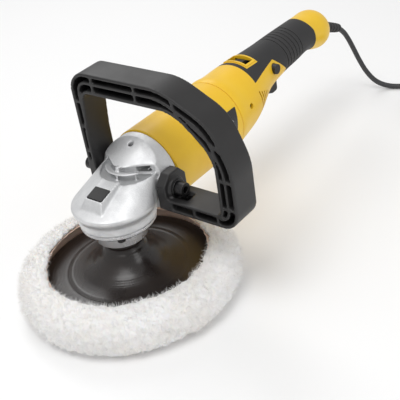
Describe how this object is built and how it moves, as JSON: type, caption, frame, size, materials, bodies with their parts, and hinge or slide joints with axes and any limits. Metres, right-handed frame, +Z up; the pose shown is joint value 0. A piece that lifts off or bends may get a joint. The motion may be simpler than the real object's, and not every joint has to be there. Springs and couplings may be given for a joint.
{
  "type": "rotary polisher",
  "caption": "Corded rotary polisher: wool bonnet on a rubber pad under a cast angle head, motor body, rear grip with trigger, speed dial, and a D-handle bolted across the head.",
  "frame": {"origin": "spindle axis at the working face of the wool bonnet", "axes": "+Z up the spindle, +X back along the motor to the rear grip and cord, +Y away from the lock-on button"},
  "size_m": [0.61, 0.314, 0.2165],
  "materials": {
    "yellow_plastic": "moulded, light satin",
    "black_plastic": "moulded, fine matt grain",
    "black_rubber": "soft moulded rubber",
    "pad_rubber": "polished moulded rubber",
    "wool": "long clipped wool",
    "hide": "suede inner side",
    "cast_aluminium": "fine blasted casting",
    "machined_aluminium": "turned",
    "steel": "machined",
    "black_steel": "black oxide",
    "bearing_steel": "ground",
    "lamination": "stacked sheets",
    "copper": "enamelled winding",
    "brass": "drawn",
    "carbon": "pressed carbon",
    "natural_nylon": "moulded",
    "circuit_board": "coated board",
    "nameplate": "printed foil",
    "cord": "flexible sheath"
  },
  "bodies": {
    "housing": {"gear_housing": "cast_aluminium", "bearing_flange": "machined_aluminium", "flange_screws": "black_steel", "gear_housing_screws": "steel", "top_screw": "black_steel", "spindle_bearing": "bearing_steel", "spindle_bush": "brass", "lock_spring": "steel", "front_bearing": "bearing_steel", "rear_bearing": "bearing_steel", "motor_housing": "yellow_plastic", "stator_core": "lamination", "field_windings": "copper", "air_baffle": "natural_nylon", "brush_holders": "brass", "carbon_brushes": "carbon", "nameplate_left": "nameplate", "nameplate_right": "nameplate", "rear_shell_left": "yellow_plastic", "rear_shell_right": "yellow_plastic", "grip_left": "black_rubber", "grip_right": "black_rubber", "shell_screws": "black_steel", "trigger_pin": "steel", "switch_module": "black_plastic", "speed_control_board": "circuit_board", "cord_clamp": "black_plastic", "inner_lead": "cord", "strain_relief": "black_rubber", "d_handle": "black_plastic", "handle_bolts": "black_steel", "handle_washers": "black_steel", "power_cord": "cord", "cord_coil": "cord", "coil_tie": "black_plastic", "mains_plug": "black_rubber", "plug_pins": "brass"},
    "spindle": {"wool_bonnet": "wool", "bonnet_hide": "hide", "backing_pad": "pad_rubber", "pad_insert": "steel", "spindle": "steel", "crown_gear": "steel", "gear_nut": "steel"},
    "armature": {"armature_shaft": "steel", "pinion_gear": "steel", "pinion_nut": "steel", "armature_core": "lamination", "armature_windings": "copper", "commutator": "copper", "cooling_fan": "natural_nylon"},
    "spindle_lock": {"lock_button": "black_plastic", "lock_pin": "steel"},
    "trigger": {"trigger": "black_plastic"},
    "lock_on": {"lock_on_button": "black_plastic"},
    "speed_dial": {"speed_dial": "black_plastic"}
  },
  "joints": [
    {"name": "spindle_spin", "type": "hinge", "parent": "housing", "child": "spindle", "pos_m": [0, 0, 0.05], "axis": [0, 0, 1], "continuous": true},
    {"name": "armature_spin", "type": "hinge", "parent": "housing", "child": "armature", "pos_m": [0.1, 0, 0.1084], "axis": [1, 0, 0], "continuous": true},
    {"name": "spindle_lock_press", "type": "slide", "parent": "housing", "child": "spindle_lock", "axis": [0, 0, -1], "range_m": [0, 0.0045], "stiffness_N_per_m": 400, "deforming": ["lock_spring"]},
    {"name": "trigger_squeeze", "type": "hinge", "parent": "housing", "child": "trigger", "pos_m": [0.228, 0, 0.106], "axis": [0, -1, 0], "range_deg": [0, 7], "stiffness_Nm_per_rad": 0.6},
    {"name": "lock_on_press", "type": "slide", "parent": "housing", "child": "lock_on", "axis": [0, 1, 0], "range_m": [0, 0.003], "stiffness_N_per_m": 400},
    {"name": "speed_dial_turn", "type": "hinge", "parent": "housing", "child": "speed_dial", "pos_m": [0.21475, 0, 0.136], "axis": [0, 1, 0], "range_deg": [0, 270]}
  ],
  "couplings": [
    {"joint": "armature_spin", "follows": "spindle_spin", "ratio": 4}
  ]
}
